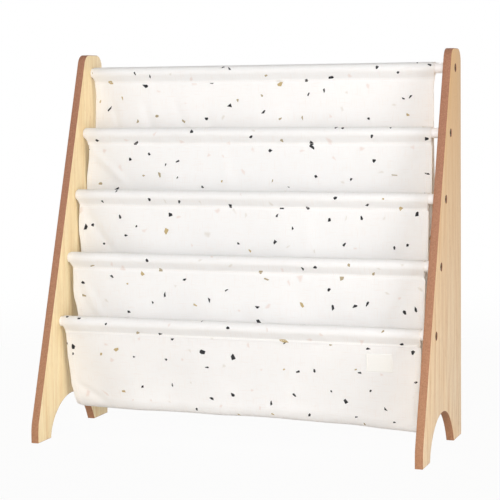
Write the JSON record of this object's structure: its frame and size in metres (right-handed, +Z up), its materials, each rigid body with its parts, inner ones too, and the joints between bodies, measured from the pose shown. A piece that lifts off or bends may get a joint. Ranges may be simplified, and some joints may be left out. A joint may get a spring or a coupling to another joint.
{
  "type": "sling bookshelf",
  "caption": "Low bookshelf of two sloping side boards joined by bolted rods, with printed cloth hung from the rods as stepped pockets for picture books.",
  "frame": {"origin": "on the floor, under the middle of the shelf's box", "axes": "+Z up, +X to the right seen from the front, +Y from the front to the back"},
  "size_m": [0.62, 0.258, 0.602],
  "materials": {
    "side_board": "satin pale wood laminate on board, edges left bare and brown",
    "rod_paint": "white satin paint on turned wood",
    "insert_zinc": "zinc plated",
    "bolt_bronze": "dark bronze plated",
    "printed_canvas": "off-white plain weave canvas with printed chips",
    "label_tape": "smooth woven label tape, blank"
  },
  "bodies": {
    "root": {"side_panel_left": "side_board", "side_panel_right": "side_board", "rod_1": "rod_paint", "rod_2": "rod_paint", "rod_3": "rod_paint", "rod_4": "rod_paint", "rod_5": "rod_paint", "rod_insert_left_1": "insert_zinc", "rod_insert_right_1": "insert_zinc", "rod_insert_left_2": "insert_zinc", "rod_insert_right_2": "insert_zinc", "rod_insert_left_3": "insert_zinc", "rod_insert_right_3": "insert_zinc", "rod_insert_left_4": "insert_zinc", "rod_insert_right_4": "insert_zinc", "rod_insert_left_5": "insert_zinc", "rod_insert_right_5": "insert_zinc", "bolt_left_1": "bolt_bronze", "bolt_right_1": "bolt_bronze", "bolt_left_2": "bolt_bronze", "bolt_right_2": "bolt_bronze", "bolt_left_3": "bolt_bronze", "bolt_right_3": "bolt_bronze", "bolt_left_4": "bolt_bronze", "bolt_right_4": "bolt_bronze", "bolt_left_5": "bolt_bronze", "bolt_right_5": "bolt_bronze", "rod_casing_1": "printed_canvas", "rod_casing_2": "printed_canvas", "rod_casing_3": "printed_canvas", "rod_casing_4": "printed_canvas", "rod_casing_5": "printed_canvas", "sling_1": "printed_canvas", "sling_2": "printed_canvas", "sling_3": "printed_canvas", "sling_4": "printed_canvas", "blank_label": "label_tape"}
  },
  "joints": []
}
